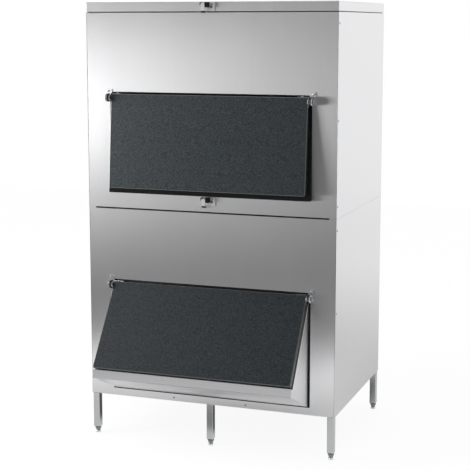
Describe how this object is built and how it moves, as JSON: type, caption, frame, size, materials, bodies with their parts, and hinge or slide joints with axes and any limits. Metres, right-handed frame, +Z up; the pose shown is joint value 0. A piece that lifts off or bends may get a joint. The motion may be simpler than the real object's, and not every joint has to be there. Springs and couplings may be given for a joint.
{
  "type": "ice storage bin",
  "caption": "Insulated stainless ice storage bin of stacked modules with top-hinged front doors, a slanted chute, hold-open catches and levelling feet. Ice drops in through the lid.",
  "frame": {"origin": "on the floor, under the middle of the whole object with its chute", "axes": "+Z up, -Y towards the front with the doors, +X to the right of someone facing the front"},
  "size_m": [1.063, 0.9776, 1.811],
  "materials": {
    "brushed_steel": "satin",
    "galvanised_steel": "satin",
    "polished_steel": "polished",
    "leg_steel": "satin",
    "foot_steel": "polished",
    "door_plastic": "matte",
    "black_rubber": "matte",
    "black_plastic": "satin",
    "white_plastic": "satin",
    "insulation_foam": "matte"
  },
  "bodies": {
    "bin": {"lower_front_panel": "brushed_steel", "lower_left_panel": "brushed_steel", "lower_right_panel": "brushed_steel", "lower_back_panel": "galvanised_steel", "lower_insulation": "insulation_foam", "lower_liner": "white_plastic", "upper_front_panel": "brushed_steel", "upper_left_panel": "brushed_steel", "upper_right_panel": "brushed_steel", "upper_back_panel": "galvanised_steel", "upper_insulation": "insulation_foam", "upper_liner": "white_plastic", "module_seal": "black_rubber", "lid_seal": "black_rubber", "lid_cover": "brushed_steel", "lid_insulation": "insulation_foam", "ceiling_panel": "white_plastic", "base_panel": "galvanised_steel", "drain_fitting": "black_plastic", "upper_door_frame": "black_rubber", "chute_shell": "brushed_steel", "chute_insulation": "insulation_foam", "chute_lining": "white_plastic", "chute_seal": "black_rubber", "ice_baffle": "brushed_steel", "upper_door_bracket_left": "polished_steel", "upper_door_bracket_right": "polished_steel", "lower_door_bracket_left": "polished_steel", "lower_door_bracket_right": "polished_steel", "upper_catch_base": "black_plastic", "lower_catch_base": "black_plastic", "front_left_leg": "leg_steel", "front_middle_leg": "leg_steel", "front_right_leg": "leg_steel", "rear_left_leg": "leg_steel", "rear_middle_leg": "leg_steel", "rear_right_leg": "leg_steel"},
    "upper_door": {"upper_door_shell": "door_plastic", "upper_door_inner_panel": "white_plastic", "upper_door_gasket": "black_rubber", "upper_door_hinge_left": "polished_steel", "upper_door_hinge_right": "polished_steel", "upper_door_pin_left": "polished_steel", "upper_door_pin_right": "polished_steel"},
    "lower_door": {"lower_door_shell": "door_plastic", "lower_door_inner_panel": "white_plastic", "lower_door_gasket": "black_rubber", "lower_door_hinge_left": "polished_steel", "lower_door_hinge_right": "polished_steel", "lower_door_pin_left": "polished_steel", "lower_door_pin_right": "polished_steel"},
    "upper_hook": {"upper_catch_hook": "polished_steel"},
    "lower_hook": {"lower_catch_hook": "polished_steel"},
    "front_left_foot": {"front_left_foot": "foot_steel"},
    "front_middle_foot": {"front_middle_foot": "foot_steel"},
    "front_right_foot": {"front_right_foot": "foot_steel"},
    "rear_left_foot": {"rear_left_foot": "foot_steel"},
    "rear_middle_foot": {"rear_middle_foot": "foot_steel"},
    "rear_right_foot": {"rear_right_foot": "foot_steel"}
  },
  "joints": [
    {"name": "upper_door_hinge", "type": "hinge", "parent": "bin", "child": "upper_door", "pos_m": [0, -0.28169, 1.429], "axis": [-1, 0, 0], "range_deg": [0, 175]},
    {"name": "lower_door_hinge", "type": "hinge", "parent": "bin", "child": "lower_door", "pos_m": [0, -0.28169, 0.657], "axis": [-1, 0, 0], "range_deg": [0, 145]},
    {"name": "upper_hook_hinge", "type": "hinge", "parent": "bin", "child": "upper_hook", "pos_m": [-0.0165, -0.27669, 1.801], "axis": [-1, 0, 0], "range_deg": [0, 90]},
    {"name": "lower_hook_hinge", "type": "hinge", "parent": "bin", "child": "lower_hook", "pos_m": [-0.0165, -0.27669, 1.029], "axis": [-1, 0, 0], "range_deg": [0, 90]},
    {"name": "front_left_foot_thread", "type": "slide", "parent": "bin", "child": "front_left_foot", "axis": [0, 0, -1], "range_m": [0, 0.02]},
    {"name": "front_middle_foot_thread", "type": "slide", "parent": "bin", "child": "front_middle_foot", "axis": [0, 0, -1], "range_m": [0, 0.02]},
    {"name": "front_right_foot_thread", "type": "slide", "parent": "bin", "child": "front_right_foot", "axis": [0, 0, -1], "range_m": [0, 0.02]},
    {"name": "rear_left_foot_thread", "type": "slide", "parent": "bin", "child": "rear_left_foot", "axis": [0, 0, -1], "range_m": [0, 0.02]},
    {"name": "rear_middle_foot_thread", "type": "slide", "parent": "bin", "child": "rear_middle_foot", "axis": [0, 0, -1], "range_m": [0, 0.02]},
    {"name": "rear_right_foot_thread", "type": "slide", "parent": "bin", "child": "rear_right_foot", "axis": [0, 0, -1], "range_m": [0, 0.02]}
  ]
}
